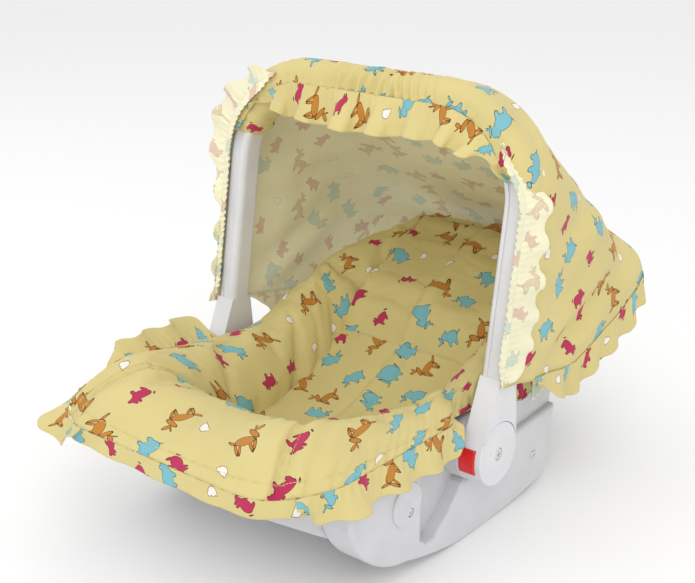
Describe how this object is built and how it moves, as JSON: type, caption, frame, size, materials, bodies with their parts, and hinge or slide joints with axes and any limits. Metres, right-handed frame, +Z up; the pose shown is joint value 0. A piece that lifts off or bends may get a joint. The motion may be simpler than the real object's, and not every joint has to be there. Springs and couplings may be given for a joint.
{
  "type": "infant car seat",
  "caption": "Infant carrier seat with a rocking shell, a swinging carry handle with lock buttons, a padded cover and a folding canopy.",
  "frame": {"origin": "centre of the footprint box, on the floor that the rocker flats stand on", "axes": "+Z up, -Y towards the foot end, +Y towards the head end, X across; the handle turns about a line along X"},
  "size_m": [0.472, 0.716, 0.5371],
  "materials": {
    "shell_white": "moulded, satin gloss",
    "handle_white": "moulded, satin gloss",
    "button_red": "glossy",
    "screw_steel": "plated",
    "zinc_plate": "zinc plated",
    "spring_steel": "bright wire",
    "printed_cotton": "plain-weave cotton with a small print",
    "cotton_wrong_side": "unprinted back of the cotton"
  },
  "bodies": {
    "seat": {"seat_tub": "shell_white", "rocker_side_right": "shell_white", "rocker_side_left": "shell_white", "side_screws": "screw_steel", "ratchet_plate_right": "zinc_plate", "ratchet_plate_left": "zinc_plate", "pivot_screw_right": "screw_steel", "pivot_screw_left": "screw_steel", "pivot_nut_right": "zinc_plate", "pivot_nut_left": "zinc_plate", "backrest_pad": "printed_cotton", "seat_pad": "printed_cotton", "leg_rest_roll": "printed_cotton", "bolster_right": "printed_cotton", "bolster_left": "printed_cotton", "side_frill_right": "printed_cotton", "side_frill_left": "printed_cotton", "front_apron": "printed_cotton", "canopy_sheet": "printed_cotton", "hem_frill": "printed_cotton"},
    "handle": {"handle_bow": "handle_white", "hub_cap_right": "handle_white", "hub_cap_left": "handle_white", "button_spring_right": "spring_steel", "button_spring_left": "spring_steel", "canopy_roll": "printed_cotton", "ruffle_right": "cotton_wrong_side", "ruffle_left": "cotton_wrong_side", "ruffle_top": "printed_cotton"},
    "button_right": {"lock_button_right": "button_red"},
    "button_left": {"lock_button_left": "button_red"}
  },
  "joints": [
    {"name": "handle_swing", "type": "hinge", "parent": "seat", "child": "handle", "pos_m": [0, -0.02, 0.119], "axis": [-1, 0, 0], "range_deg": [0, 90], "deforming": ["canopy_sheet", "hem_frill"]},
    {"name": "button_press_right", "type": "slide", "parent": "handle", "child": "button_right", "axis": [0, 1, 0], "range_m": [0, 0.003], "stiffness_N_per_m": 400, "springref_m": -0.003, "deforming": ["button_spring_right"]},
    {"name": "button_press_left", "type": "slide", "parent": "handle", "child": "button_left", "axis": [0, 1, 0], "range_m": [0, 0.003], "stiffness_N_per_m": 400, "springref_m": -0.003, "deforming": ["button_spring_left"]}
  ]
}
